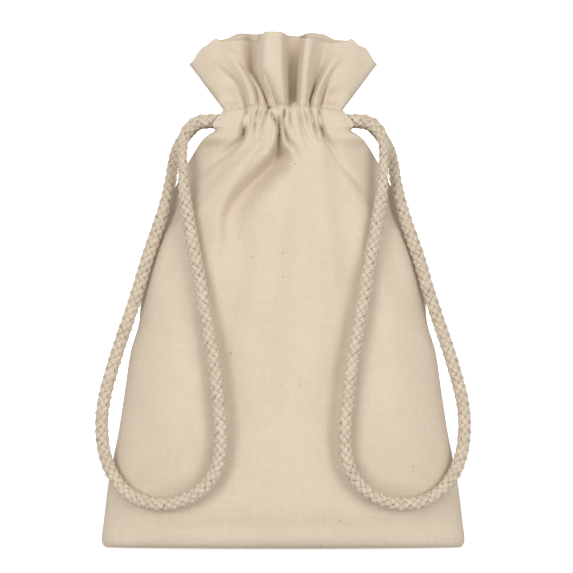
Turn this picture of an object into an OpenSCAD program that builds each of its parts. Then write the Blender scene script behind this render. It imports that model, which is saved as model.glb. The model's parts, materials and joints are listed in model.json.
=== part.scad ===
// Fabric gift sack: a cotton pouch that one endless braided drawcord gathers shut.
// The sack stands on its base with the mouth up. The front faces -Y, and the origin is
// the middle of the base. The cloth walls are drawn smooth, at the outer size of the folds.

/* [Sack] */
// Width across the base, from side seam to side seam
sack_w = 140; // [120:1:150]
// Height of the rim at the middle of the mouth
sack_h = 199; // [190:1:210]
// Depth of the belly, front to back
belly_d = 50; // [44:1:60]
// Depth of the flat part that the sack stands on
base_d = 30; // [22:1:34]
// Thickness of a cloth wall, with its slack
cloth_t = 0.8; // [0.6:0.1:1]

/* [Neck] */
// Length of each casing, from one cord opening to the other
casing_w = 52; // [48:1:56]
// Height of the cord inside the casings
cord_z = 164; // [162:1:166]
// Gap between the two facings, down the throat
throat_d = 5.2; // [4.6:0.1:6]
// Width across the two upper corners of the header
header_w = 72; // [66:1:78]
// Depth of the open mouth at the rim
mouth_d = 25; // [18:1:26]
// How much lower the rim is at its corners than in the middle
rim_drop = 13; // [8:0.5:16]

/* [Drawcord] */
// Diameter of the braided cord
cord_d = 5.5; // [5:0.1:5.5]
// Free space all round the cord in its casing
cord_gap = 0.6; // [0.6:0.1:0.8]

/* [Stitching] */
// Thickness of the sewing thread
thread_d = 0.5; // [0.3:0.1:0.5]
// Length of one stitch
stitch_l = 1.7; // [1:0.1:2]
// Distance from one stitch to the next
stitch_pitch = 2.6; // [2.4:0.1:3]
// Width of the seam allowance inside the sack
seam_w = 6; // [4:0.5:8]

/* [Hidden] */

cloth_colour = [0.88, 0.82, 0.73];
cord_colour = [0.84, 0.78, 0.68];
thread_colour = [0.91, 0.87, 0.79];

columns = 20;     // steps across a panel
arc_steps = 6;    // steps round the casing's outer wall
header_steps = 5; // steps up the header
cord_sides = 12;  // facets round the cord

seam_gap = 0.3;   // from the middle plane to each panel's edge
layer_gap = 0.1;  // between a panel and its facing
land = 0.6;       // half the height of the flat strip under a row of stitches

cord_r = cord_d / 2;
tunnel_r = cord_r + cord_gap;
facing_y = throat_d / 2 + cloth_t;      // outer face of the facing, in the casing
cord_y = facing_y + tunnel_r;           // the cord's distance from the middle plane
land_y = facing_y + layer_gap + cloth_t;
stitch_z = tunnel_r + 1.55;             // from the cord up or down to a row of stitches
lower_z = cord_z - stitch_z;
upper_z = cord_z + stitch_z;
header_z = upper_z + land;
neck_top_w = casing_w - 6.8;            // width where the header leaves the casing

// Outline of the cloth under the neck: shares of cord_z, sack_w and belly_d.
body_outline = [
    [0.010, 0.995, 0.70],
    [0.036, 1.000, 0.78],
    [0.105, 0.972, 0.88],
    [0.180, 0.943, 0.95],
    [0.265, 0.907, 0.99],
    [0.350, 0.874, 1.00],
    [0.435, 0.841, 1.00],
    [0.540, 0.785, 0.98],
    [0.640, 0.762, 0.96],
    [0.715, 0.728, 0.92],
    [0.765, 0.690, 0.88],
    [0.800, 0.652, 0.83],
    [0.840, 0.598, 0.76],
    [0.878, 0.560, 0.67],
    [0.912, 0.520, 0.54],
    [0.938, 0.478, 0.41],
];

// One ring of the cloth is [height, half width, half depth, how square it is (0 a lens, 1 flat),
// how far up the header it is (0 to 1)].
body_rings = concat(
    [[0, sack_w * 0.493, 0, 0, 0], [0, sack_w * 0.493, base_d / 2, 0, 0]],
    [for (r = body_outline) [r[0] * cord_z, r[1] * sack_w / 2, r[2] * belly_d / 2, 0, 0]]
);
casing_rings = concat(
    [[lower_z - land, casing_w / 2, land_y, 1, 0], [lower_z + land, casing_w / 2, land_y, 1, 0]],
    [
        for (i = [0:arc_steps])
            let (a = -70 + 140 * i / arc_steps, r = tunnel_r + cloth_t)
            [cord_z + r * sin(a), casing_w / 2, cord_y + r * cos(a), 1, 0]
    ],
    [[upper_z - land, casing_w / 2, land_y, 1, 0], [header_z, neck_top_w / 2, land_y, 1, 0]]
);
header_rings = [
    for (i = [1:header_steps])
        let (k = i / header_steps)
        [
            header_z,
            neck_top_w / 2 + k * (header_w - neck_top_w) / 2,
            land_y + k * (mouth_d / 2 - land_y),
            max(0, 1 - 4 * k),
            k,
        ]
];
panel_rings = concat(body_rings, casing_rings, header_rings);
facing_rings = concat(
    [
        for (z = [lower_z - land, cord_z - tunnel_r, cord_z, cord_z + tunnel_r, upper_z - land])
            [z, casing_w / 2, facing_y, 1, 0]
    ],
    [[header_z, neck_top_w / 2, facing_y, 1, 0]],
    header_rings
);

// The left loop, from its front casing round to its back one. It leaves each casing level,
// turns down, and hangs in front of the sack. The first three points and the last three
// belong to the runs, and the loop turns about the third one from either end.
loop_route = [
    [-30, -cord_y, cord_z], [-33.6, -cord_y, cord_z - 1], [-36.6, -cord_y, cord_z - 3.8],
    [-38.2, -7, 156.6], [-38.6, -8, 152.6], [-38.3, -10.5, 147], [-37.9, -13.5, 140], [-36.9, -16.5, 132],
    [-35.2, -19.5, 122], [-33.2, -22, 112], [-31.2, -24, 101], [-29.3, -25.2, 90], [-27.2, -26, 79],
    [-25.5, -26.4, 68], [-24.3, -26.4, 57], [-23.3, -26.2, 46], [-23.6, -25.9, 38.5],
    [-25.3, -25.5, 31.3], [-29.2, -24.9, 25.3], [-34.6, -24.1, 21.2], [-40.4, -23, 18.9],
    [-47, -20.9, 18.2], [-53.6, -18.2, 19.3], [-60.2, -14.8, 22.9], [-65.4, -11.6, 29.6],
    [-68.4, -9, 37.8], [-69.4, -7.4, 47.8], [-68.5, -6.6, 57.2], [-65.6, -6.4, 68.5],
    [-62.4, -6.7, 78.7], [-58.5, -7.6, 90], [-55.1, -8.9, 100.3], [-51.8, -10, 111.4],
    [-48.6, -10, 120.6], [-45.2, -8.2, 131], [-43.3, -3.8, 140.3], [-42.4, 0.4, 147.2],
    [-41.1, 4.4, 152.6], [-39, 6.5, 156.8],
    [-36.6, cord_y, cord_z - 3.8], [-33.6, cord_y, cord_z - 1], [-30, cord_y, cord_z],
];
run_points = 3;

function lens(u, square) = max(square, pow(max(0, 1 - u * u), 0.6));

function across(i) = sin(90 * (2 * i / columns - 1));

function rim_z(u) = sack_h - rim_drop * pow(abs(u), 2.5);

// A point of a ring, moved inward by inset, which also lifts the cloth that lies on the floor.
function cloth_point(ring, u, inset) =
    let (
        half_w = ring[1] - inset * (1 - ring[3]),
        half_d = max(0, ring[2] - inset),
        z = ring[0] + ring[4] * (rim_z(u) - header_z) + (ring[0] == 0 ? inset : 0)
    )
    [half_w * u, -half_d * lens(u, ring[3]) - seam_gap * (1 - ring[3]), z];

// A closed shell between two grids of points of the same size. The first is the outer one.
module shell(outer, inner) {
    rows = len(outer);
    cols = len(outer[0]);
    function at(side, j, i) = side * rows * cols + j * cols + i;
    function cell(a, b, c, d) = [[a, b, c], [a, c, d]];
    skins = [
        for (j = [0:rows - 2], i = [0:cols - 2])
            for (t = concat(
                cell(at(0, j, i), at(0, j + 1, i), at(0, j + 1, i + 1), at(0, j, i + 1)),
                cell(at(1, j, i), at(1, j, i + 1), at(1, j + 1, i + 1), at(1, j + 1, i))
            )) t
    ];
    ends = [
        for (i = [0:cols - 2])
            for (t = concat(
                cell(at(0, 0, i), at(0, 0, i + 1), at(1, 0, i + 1), at(1, 0, i)),
                cell(at(0, rows - 1, i), at(1, rows - 1, i), at(1, rows - 1, i + 1), at(0, rows - 1, i + 1))
            )) t
    ];
    sides = [
        for (j = [0:rows - 2])
            for (t = concat(
                cell(at(0, j, 0), at(1, j, 0), at(1, j + 1, 0), at(0, j + 1, 0)),
                cell(at(0, j, cols - 1), at(0, j + 1, cols - 1), at(1, j + 1, cols - 1), at(1, j, cols - 1))
            )) t
    ];
    points = [for (grid = [outer, inner], row = grid, p = row) p];
    polyhedron(points, concat(skins, ends, sides), convexity = 8);
}

// Cloth between two depths under the outside of a list of rings.
module cloth(rings, outer_inset, inner_inset) {
    grids = [
        for (inset = [outer_inset, inner_inset])
            [for (r = rings) [for (i = [0:columns]) cloth_point(r, across(i), inset)]]
    ];
    shell(grids[0], grids[1]);
}

module panel() {
    color(cloth_colour) cloth(panel_rings, 0, cloth_t);
}

// The turned-in top of a panel: the casing's inner wall and the header's lining.
module facing() {
    lining = cloth_t + layer_gap;
    rings = [
        for (r = facing_rings)
            [r[0], r[1], r[2] + (r[4] == 0 ? lining : 0), r[3], r[4]]
    ];
    color(cloth_colour) cloth(rings, lining, lining + cloth_t);
}

module back() {
    mirror([0, 1, 0]) children();
}

module right() {
    mirror([1, 0, 0]) children();
}

// A strip of seam allowance that follows the left edge of the rings, between the two panels.
module edge_seam(rings) {
    half_t = seam_gap - 0.05;
    grids = [
        for (y = [-half_t, half_t])
            [for (r = rings) [for (x = [-r[1], seam_w - r[1]]) [x, y, cloth_point(r, -1, 0)[2]]]]
    ];
    color(thread_colour) shell(grids[0], grids[1]);
}

module side_seam() {
    edge_seam([for (r = body_rings) if (r[0] > 0) r]);
}

module header_seam() {
    edge_seam([for (r = header_rings) if (r[3] == 0) [r[0], r[1] - 0.2, r[2], r[3], r[4]]]);
}

module bottom_seam() {
    half_t = seam_gap - 0.05;
    color(thread_colour)
        translate([-sack_w * 0.45, -half_t, 0])
            cube([sack_w * 0.9, 2 * half_t, seam_w]);
}

// Stitches lie in the flat strip above or below the casing.
module stitch_row(z, width) {
    count = floor(width / stitch_pitch);
    color(thread_colour)
        for (i = [0:count - 1])
            translate([(i - (count - 1) / 2) * stitch_pitch, -land_y - thread_d / 2 - 0.05, z])
                rotate([0, 90, 0])
                    cylinder(h = stitch_l, d = thread_d, center = true, $fn = 16);
}

module upper_stitching() {
    stitch_row(upper_z, neck_top_w - 1);
}

module lower_stitching() {
    stitch_row(lower_z, casing_w - 2);
}

// Bars of close stitches that bind the casing's outer wall at its open end, front and back.
module opening_tacks() {
    tack_r = tunnel_r + cloth_t + thread_d / 2 + 0.1;
    tack_turn = 30;
    color(thread_colour)
        for (side = [1, -1], turn = [-tack_turn, 0, tack_turn])
            translate([-casing_w / 2 + 2, -side * (cord_y + tack_r * cos(turn)), cord_z + tack_r * sin(turn)])
                rotate([0, 90, 0])
                    cylinder(h = 2.4, d = thread_d, center = true, $fn = 16);
}

function unit(v) = v / norm(v);

function toward(path, i) =
    unit(path[min(i + 1, len(path) - 1)] - path[max(i - 1, 0)]);

// Stations of a rounded end: centre, direction and radius, from the widest to the tip.
function round_end(p, along, r) =
    [for (a = [25:25:75]) [p + r * sin(a) * along, along, r * cos(a)]];

// A closed tube along a path that never runs straight front to back. Its ends are rounded.
module tube(path, r, sides) {
    last = len(path) - 1;
    start = round_end(path[0], -toward(path, 0), r);
    stations = concat(
        [for (i = [len(start) - 1:-1:0]) [start[i][0], toward(path, 0), start[i][2]]],
        [for (i = [0:last]) [path[i], toward(path, i), r]],
        round_end(path[last], toward(path, last), r)
    );
    rings = [
        for (station = stations)
            let (
                along = station[1],
                n = unit(cross(along, [0, 1, 0])),
                b = cross(along, n)
            )
            for (s = [0:sides - 1])
                station[0] + station[2] * (cos(360 * s / sides) * n + sin(360 * s / sides) * b)
    ];
    top = (len(stations) - 1) * sides;
    walls = [
        for (i = [0:len(stations) - 2], s = [0:sides - 1])
            let (a = i * sides + s, b = i * sides + (s + 1) % sides)
            for (t = [[a, b, b + sides], [a, b + sides, a + sides]]) t
    ];
    caps = [[for (s = [sides - 1:-1:0]) s], [for (s = [0:sides - 1]) top + s]];
    polyhedron(rings, concat(walls, caps), convexity = 6);
}

// The cord inside the front casing, and the start of its turn down.
module cord_run() {
    middle_gap = 4;
    run = concat(
        [[-middle_gap, -cord_y, cord_z]],
        [for (i = [0:run_points - 1]) loop_route[i]]
    );
    color(cord_colour) tube(run, cord_r, cord_sides);
}

// The free loop starts far enough from the turn that it can swing up without meeting the run.
module cord_loop() {
    start = [-38.5, -7.3, 154.2];
    end = [-40.4, 5.2, 154.2];
    skip = run_points + 1;
    path = concat([start], [for (i = [skip:len(loop_route) - 1 - skip]) loop_route[i]], [end]);
    color(cord_colour) tube(path, cord_r, cord_sides);
}

// Whipping thread round the place where the cord's two ends are sewn together.
module splice() {
    whipping = 5;
    color(thread_colour)
        translate([-10, cord_y, cord_z])
            rotate([0, -90, 0])
                difference() {
                    cylinder(h = whipping, r = cord_r + 0.2, $fn = 48);
                    translate([0, 0, -1]) cylinder(h = whipping + 2, r = cord_r + 0.02, $fn = 48);
                }
}

panel();  // front_panel
back() panel();  // back_panel
facing();  // front_facing
back() facing();  // back_facing
side_seam();  // left_side_seam
right() side_seam();  // right_side_seam
header_seam();  // left_header_seam
right() header_seam();  // right_header_seam
bottom_seam();
upper_stitching();  // front_upper_stitching
lower_stitching();  // front_lower_stitching
back() upper_stitching();  // back_upper_stitching
back() lower_stitching();  // back_lower_stitching
opening_tacks();  // left_opening_tacks
right() opening_tacks();  // right_opening_tacks
cord_run();  // left_cord_front_run
back() cord_run();  // left_cord_back_run
cord_loop();  // left_cord_loop
right() cord_run();  // right_cord_front_run
right() back() cord_run();  // right_cord_back_run
right() cord_loop();  // right_cord_loop
splice();  // cord_splice
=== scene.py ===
"""Fabric gift sack: gathered cotton cloth and a braided drawcord, built round the CAD frame."""

import json
import math

import bpy
import numpy as np
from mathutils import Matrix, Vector

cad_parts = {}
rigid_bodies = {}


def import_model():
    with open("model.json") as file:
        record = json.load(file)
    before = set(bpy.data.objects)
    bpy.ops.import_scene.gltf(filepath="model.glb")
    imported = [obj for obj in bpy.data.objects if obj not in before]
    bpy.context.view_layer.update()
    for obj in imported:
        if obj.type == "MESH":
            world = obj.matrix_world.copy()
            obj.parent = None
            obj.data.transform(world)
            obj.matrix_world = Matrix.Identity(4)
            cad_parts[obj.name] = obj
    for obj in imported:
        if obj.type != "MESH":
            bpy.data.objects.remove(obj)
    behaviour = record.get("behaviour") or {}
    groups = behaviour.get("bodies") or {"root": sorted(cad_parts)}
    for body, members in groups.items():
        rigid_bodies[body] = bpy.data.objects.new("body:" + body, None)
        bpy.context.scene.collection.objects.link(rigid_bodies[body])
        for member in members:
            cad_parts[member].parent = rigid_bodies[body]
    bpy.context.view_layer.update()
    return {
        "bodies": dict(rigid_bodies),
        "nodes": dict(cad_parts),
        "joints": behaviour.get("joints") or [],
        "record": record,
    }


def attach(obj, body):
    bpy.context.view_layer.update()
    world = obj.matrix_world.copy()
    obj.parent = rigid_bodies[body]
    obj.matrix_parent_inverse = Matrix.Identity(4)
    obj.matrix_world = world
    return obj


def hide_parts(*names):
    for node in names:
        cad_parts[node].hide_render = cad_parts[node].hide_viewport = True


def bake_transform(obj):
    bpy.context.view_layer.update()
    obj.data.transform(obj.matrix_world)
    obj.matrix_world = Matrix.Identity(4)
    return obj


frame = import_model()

MM = 0.001
SPLINE_STEPS = 24  # fine steps between two points that a spline goes through
scene = bpy.context.scene
scene.view_settings.view_transform = "Standard"


# ---------------------------------------------------------------- helpers

def smooth_curve(stations, at, column=1):
    """Monotone cubic through (place, value, ...) stations, level beyond both ends."""
    table = np.array(stations, float)
    x, y = table[:, 0], table[:, column]
    h = np.diff(x)
    slope = np.diff(y) / h
    m = np.zeros(len(x))
    same_way = slope[1:] * slope[:-1] > 0
    a, b = 2 * h[1:] + h[:-1], h[1:] + 2 * h[:-1]
    with np.errstate(divide="ignore", invalid="ignore"):
        m[1:-1] = np.where(same_way, (a + b) / (a / slope[:-1] + b / slope[1:]), 0)
    at = np.clip(np.asarray(at, float), x[0], x[-1])
    i = np.clip(np.searchsorted(x, at, side="right") - 1, 0, len(h) - 1)
    t = (at - x[i]) / h[i]
    return (
        y[i] * (1 + 2 * t) * (1 - t) ** 2 + y[i + 1] * t * t * (3 - 2 * t)
        + m[i] * h[i] * t * (1 - t) ** 2 - m[i + 1] * h[i] * t * t * (1 - t)
    )


def spline(points, spacing):
    """Points at an even spacing along a smooth line through the given points."""
    p = np.array(points, float)
    p = np.vstack([2 * p[0] - p[1], p, 2 * p[-1] - p[-2]])
    fine = []
    for k in range(1, len(p) - 2):
        t = np.linspace(0, 1, SPLINE_STEPS, endpoint=k == len(p) - 3)[:, None]
        a, b, c, d = p[k - 1:k + 3]
        fine.append(0.5 * (2 * b + (c - a) * t + (2 * a - 5 * b + 4 * c - d) * t ** 2
                           + (3 * b - a - 3 * c + d) * t ** 3))
    fine = np.vstack(fine)
    along = np.concatenate([[0], np.cumsum(np.linalg.norm(np.diff(fine, axis=0), axis=1))])
    count = int(round(along[-1] / spacing)) + 1
    at = np.linspace(0, along[-1], count)
    return np.stack([np.interp(at, along, fine[:, k]) for k in range(3)], axis=1), along[-1]


def turning_frames(line):
    """Tangent, normal and binormal along a line, carried along it without twist."""
    tangent = np.gradient(line, axis=0)
    tangent /= np.linalg.norm(tangent, axis=1)[:, None]
    normal = np.zeros_like(line)
    n = np.array([0.0, 1.0, 0.0])
    for k, t in enumerate(tangent):
        n = n - t * np.dot(n, t)
        n /= np.linalg.norm(n)
        normal[k] = n
    return tangent, normal, np.cross(tangent, normal)


def make_object(name, points, faces, uvs=None):
    """A smooth-shaded mesh object from points and faces in metres, with one UV pair for each point."""
    mesh = bpy.data.meshes.new(name)
    mesh.from_pydata([tuple(p) for p in np.asarray(points, float)], [], faces)
    mesh.polygons.foreach_set("use_smooth", [True] * len(mesh.polygons))
    if uvs is not None:
        layer = mesh.uv_layers.new(name="UVMap")
        loops = np.zeros(len(mesh.loops), np.int32)
        mesh.loops.foreach_get("vertex_index", loops)
        layer.data.foreach_set("uv", np.asarray(uvs, np.float32)[loops].ravel())
    mesh.validate()
    mesh.update()
    obj = bpy.data.objects.new(name, mesh)
    scene.collection.objects.link(obj)
    return obj


def grid_faces(rows, columns, start=0, closed=False, flip=False):
    """Quads of a grid of points, which may close on itself across its columns."""
    across = columns if closed else columns - 1
    j, i = np.meshgrid(np.arange(rows - 1), np.arange(across), indexing="ij")
    right = (i + 1) % columns
    quads = np.stack(
        [j * columns + i, j * columns + right, (j + 1) * columns + right, (j + 1) * columns + i], axis=-1
    ).reshape(-1, 4) + start
    return (quads[:, ::-1] if flip else quads).tolist()


def tube(line, radii, sides, uv_scale=1.0):
    """Points, faces and UVs of a closed round tube along a line, in the line's own units."""
    tangent, normal, binormal = turning_frames(line)
    angle = np.arange(sides) * 2 * math.pi / sides
    radii = np.broadcast_to(radii, len(line))
    ring = np.cos(angle)[None, :, None] * normal[:, None] + np.sin(angle)[None, :, None] * binormal[:, None]
    points = (line[:, None] + ring * radii[:, None, None]).reshape(-1, 3)
    faces = grid_faces(len(line), sides, closed=True)
    last = (len(line) - 1) * sides
    faces += [list(range(sides))[::-1], [last + s for s in range(sides)]]
    along = np.concatenate([[0], np.cumsum(np.linalg.norm(np.diff(line, axis=0), axis=1))])
    uvs = np.stack([np.repeat(along * uv_scale, sides), np.tile(angle / (2 * math.pi), len(line))], axis=1)
    return points, faces, uvs


def join_parts(parts):
    """One list of points, faces and UVs from several."""
    points, faces, uvs, start = [], [], [], 0
    for p, f, uv in parts:
        points.append(p)
        uvs.append(uv)
        faces += [[v + start for v in face] for face in f]
        start += len(p)
    return np.vstack(points), faces, np.vstack(uvs)


# ---------------------------------------------------------------- camera

def make_camera():
    """Level and straight on, as far off as a product photograph is taken."""
    distance, view_width, sensor = 1.30, 0.2204, 36
    data = bpy.data.cameras.new("camera")
    data.sensor_width = sensor
    data.lens = sensor * distance / view_width
    camera = bpy.data.objects.new("camera", data)
    camera.location = (0.0013, -distance, 0.1005)
    camera.rotation_euler = (math.radians(90), 0, 0)
    scene.collection.objects.link(camera)
    scene.camera = camera


make_camera()

# ---------------------------------------------------------------- materials

class Nodes:
    """A short way to write a material's node tree."""

    def __init__(self, name):
        self.material = bpy.data.materials.new(name)
        self.material.use_nodes = True
        self.tree = self.material.node_tree
        self.shader = self.tree.nodes["Principled BSDF"]

    def add(self, kind, settings=None, **inputs):
        node = self.tree.nodes.new(kind)
        for key, value in (settings or {}).items():
            setattr(node, key, value)
        for key, value in inputs.items():
            self.put(node.inputs[key], value)
        return node

    def put(self, socket, value):
        if isinstance(value, bpy.types.NodeSocket):
            self.tree.links.new(value, socket)
        else:
            socket.default_value = value

    def maths(self, operation, *values):
        node = self.tree.nodes.new("ShaderNodeMath")
        node.operation = operation
        for socket, value in zip(node.inputs, values):
            self.put(socket, value)
        return node.outputs[0]

    def ramp(self, value, low, high, to_low=0.0, to_high=1.0):
        node = self.tree.nodes.new("ShaderNodeMapRange")
        for socket, v in zip(node.inputs, (value, low, high, to_low, to_high)):
            self.put(socket, v)
        return node.outputs[0]

    def mix(self, share, a, b):
        node = self.tree.nodes.new("ShaderNodeMix")
        node.data_type = "RGBA"
        self.put(node.inputs[0], share)
        self.put(node.inputs[6], a)
        self.put(node.inputs[7], b)
        return node.outputs[2]

    def noise(self, vector, scale, detail=2.0, roughness=0.5):
        node = self.add("ShaderNodeTexNoise", Vector=vector, Scale=scale, Detail=detail, Roughness=roughness)
        return node.outputs[0]

    def finish(self, colour, roughness, bump=None, strength=0.5, distance=0.0002, sheen=0.1):
        self.put(self.shader.inputs["Base Color"], colour)
        self.put(self.shader.inputs["Roughness"], roughness)
        self.shader.inputs["Specular IOR Level"].default_value = 0.15
        self.shader.inputs["Sheen Weight"].default_value = sheen
        self.shader.inputs["Sheen Roughness"].default_value = 0.6
        if bump is not None:
            node = self.add("ShaderNodeBump", Height=bump)
            node.inputs["Strength"].default_value = strength
            node.inputs["Distance"].default_value = distance
            self.put(self.shader.inputs["Normal"], node.outputs[0])
        return self.material


CLOTH_LIGHT = (0.642, 0.542, 0.420, 1)
CLOTH_DARK = (0.538, 0.448, 0.340, 1)
SEED = (0.150, 0.095, 0.050, 1)
CORD_LIGHT = (0.626, 0.532, 0.410, 1)
CORD_DARK = (0.498, 0.414, 0.309, 1)
# Near-black painted shade for the gaps between the braid's strands, used on the strands' edges and on the core.
CORD_GAP_SHADE = (0.165, 0.125, 0.085, 1)
STRAND_PLIES = 7
THREAD = (0.640, 0.550, 0.435, 1)
YARN_PITCH = 0.00046    # metres from one yarn of the weave to the next
SEEDS_PER_METRE = 150.0  # cells to the metre, one in thirty of which holds a seed
SEED_FROM = 0.965       # the share of cells without one
SEED_RADIUS = (0.030, 0.065)  # where a seed starts to fade and where it ends, in cells


def cloth_material(name):
    """Unbleached plain weave. UVs are the cloth's own flat sizes in metres."""
    n = Nodes(name)
    uv = n.add("ShaderNodeUVMap", {"uv_map": "UVMap"}).outputs[0]
    split = n.add("ShaderNodeSeparateXYZ", Vector=uv)
    across, up = split.outputs[0], split.outputs[1]
    wander = n.noise(uv, 160.0, 2.0)
    turns = 2 * math.pi / YARN_PITCH

    def yarns(place, shift):
        moved = n.maths("ADD", n.maths("MULTIPLY", place, turns), n.maths("MULTIPLY", wander, shift))
        return n.maths("SINE", moved)

    weave = n.maths("MULTIPLY", yarns(across, 2.0), yarns(up, 2.4))

    def slubs(stretch_x, stretch_y):
        placed = n.add("ShaderNodeMapping", Vector=uv)
        placed.inputs["Scale"].default_value = (stretch_x, stretch_y, 1)
        return n.noise(placed.outputs[0], 1.0, 2.0)

    lines = n.maths("ADD", slubs(1500, 90), slubs(80, 1500))
    cloudy = n.noise(uv, 34.0, 3.0)
    mottle = n.noise(uv, 420.0, 3.0, 0.65)
    tone = n.maths("ADD", n.maths("MULTIPLY", cloudy, 0.45), n.maths("MULTIPLY", lines, 0.40))
    tone = n.ramp(n.maths("ADD", tone, n.maths("MULTIPLY", mottle, 0.40)), 0.50, 1.15)
    colour = n.mix(tone, CLOTH_DARK, CLOTH_LIGHT)
    cells = n.add("ShaderNodeTexVoronoi", {"voronoi_dimensions": "2D"}, Vector=uv, Scale=SEEDS_PER_METRE)
    chosen = n.add("ShaderNodeSeparateColor", Color=cells.outputs["Color"])
    is_seed = n.maths("GREATER_THAN", chosen.outputs[0], SEED_FROM)
    near = n.ramp(cells.outputs["Distance"], *SEED_RADIUS, 1.0, 0.0)
    strength = n.ramp(chosen.outputs[1], 0, 1, 0.30, 0.90)
    speck = n.maths("MULTIPLY", n.maths("MULTIPLY", is_seed, near), strength)
    colour = n.mix(speck, colour, SEED)
    height = n.maths("ADD", n.maths("MULTIPLY", weave, 0.5), n.maths("MULTIPLY", lines, 0.5))
    return n.finish(colour, n.ramp(lines, 0.7, 1.3, 0.88, 0.96), height, 0.25, 0.00010, 0.10)


def cord_material(name):
    """Soft cotton braid. U runs along each strand in metres, V round it, and the core has V above 1. The
    strands' edges and the whole core carry painted shade: a near-black that stands for the shade in the gaps
    between strands.
    """
    n = Nodes(name)
    uv = n.add("ShaderNodeUVMap", {"uv_map": "UVMap"}).outputs[0]
    split = n.add("ShaderNodeSeparateXYZ", Vector=uv)
    along, around = split.outputs[0], split.outputs[1]
    twist = n.maths("MULTIPLY", around, 2 * math.pi * STRAND_PLIES)
    plies = n.maths("SINE", n.maths("ADD", n.maths("MULTIPLY", along, 900.0), twist))
    where = n.add("ShaderNodeTexCoord").outputs["Object"]
    fuzz = n.noise(where, 2600.0, 3.0, 0.65)
    blotch = n.noise(where, 260.0, 2.0)
    uneven = n.maths("ADD", fuzz, blotch)
    tone = n.ramp(n.maths("ADD", n.maths("MULTIPLY", plies, 0.10), uneven), 0.7, 1.3)
    colour = n.mix(tone, CORD_DARK, CORD_LIGHT)
    # Painted shade: each strand darkens towards its two edges, unevenly along the cord, for the shade where
    # strands meet.
    sideways = n.maths("COSINE", n.maths("MULTIPLY", around, 2 * math.pi))
    flank_shade = n.maths("POWER", n.maths("ABSOLUTE", sideways), 5.0)
    gap_shade_spread = n.ramp(n.noise(where, 420.0, 1.0), 0.50, 0.70, 0.10, 0.90)
    colour = n.mix(n.maths("MULTIPLY", flank_shade, gap_shade_spread), colour, CORD_GAP_SHADE)
    # Painted shade: the core, seen only between the strands, is coloured all in the near-black gap shade.
    colour = n.mix(n.maths("GREATER_THAN", around, 1.5), colour, CORD_GAP_SHADE)
    height = n.maths("ADD", n.maths("MULTIPLY", plies, 0.5), fuzz)
    return n.finish(colour, n.ramp(fuzz, 0.3, 0.7, 0.85, 0.97), height, 0.5, 0.00012, 0.15)


def thread_material(name):
    """Twisted sewing thread, a little brighter than the cloth."""
    n = Nodes(name)
    where = n.add("ShaderNodeTexCoord").outputs["Object"]
    fine = n.noise(where, 3200.0, 2.0)
    colour = n.mix(n.ramp(fine, 0.3, 0.7), CLOTH_LIGHT, THREAD)
    return n.finish(colour, n.ramp(fine, 0.3, 0.7, 0.65, 0.85), fine, 0.4, 0.0001, 0.1)


CLOTH = cloth_material("unbleached_cotton")
CORD = cord_material("braided_cotton")
THREAD_FINISH = thread_material("cotton_thread")


def dress(obj, material):
    obj.data.materials.append(material)
    return obj


# ---------------------------------------------------------------- cords

BRAID_PITCH = 13.6     # length of one full turn of a strand, in millimetres
STRANDS_EACH_WAY = 4
STRAND_HALF = (1.22, 0.86)  # half width and half thickness of a strand
STRAND_RADIUS = 1.42   # from the cord's middle to a strand's
WEAVE_DEPTH = 0.42     # how far a strand moves out and in as it passes over and under
CORE_RADIUS = 1.15
STRAND_SIDES = 8
BRAID_STEP = 0.62      # from one ring of a strand to the next

# Left loop from its front casing round to its back one, in metres, as in the CAD part.
LOOP_ROUTE = [
    (-0.0300, -0.00675, 0.1640), (-0.0336, -0.00675, 0.1630), (-0.0366, -0.00675, 0.1602),
    (-0.0382, -0.0070, 0.1566), (-0.0386, -0.0080, 0.1526), (-0.0383, -0.0105, 0.1470),
    (-0.0379, -0.0135, 0.1400), (-0.0369, -0.0165, 0.1320), (-0.0352, -0.0195, 0.1220),
    (-0.0332, -0.0220, 0.1120), (-0.0312, -0.0240, 0.1010), (-0.0293, -0.0252, 0.0900),
    (-0.0272, -0.0260, 0.0790), (-0.0255, -0.0264, 0.0680), (-0.0243, -0.0264, 0.0570),
    (-0.0233, -0.0262, 0.0460), (-0.0236, -0.0259, 0.0385), (-0.0253, -0.0255, 0.0313),
    (-0.0292, -0.0249, 0.0253), (-0.0346, -0.0241, 0.0212), (-0.0404, -0.0230, 0.0189),
    (-0.0470, -0.0209, 0.0182), (-0.0536, -0.0182, 0.0193), (-0.0602, -0.0148, 0.0229),
    (-0.0654, -0.0116, 0.0296), (-0.0684, -0.0090, 0.0378), (-0.0694, -0.0074, 0.0478),
    (-0.0685, -0.0066, 0.0572), (-0.0656, -0.0064, 0.0685), (-0.0624, -0.0067, 0.0787),
    (-0.0585, -0.0076, 0.0900), (-0.0551, -0.0089, 0.1003), (-0.0518, -0.0100, 0.1114),
    (-0.0486, -0.0100, 0.1206), (-0.0452, -0.0082, 0.1310), (-0.0433, -0.0038, 0.1403),
    (-0.0424, 0.0004, 0.1472), (-0.0411, 0.0044, 0.1526), (-0.0390, 0.0065, 0.1568),
    (-0.0366, 0.00675, 0.1602), (-0.0336, 0.00675, 0.1630), (-0.0300, 0.00675, 0.1640),
]
# The stretch inside a casing, outward from the middle, in metres.
CASING_PLACES = (0.004, 0.012, 0.021)


def pressed(z):
    """How narrow the cord is, seen from the front, where the loop's two sides lie close together."""
    return 1 - 0.28 * np.exp(-((z - 147) / 10) ** 2)


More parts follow.
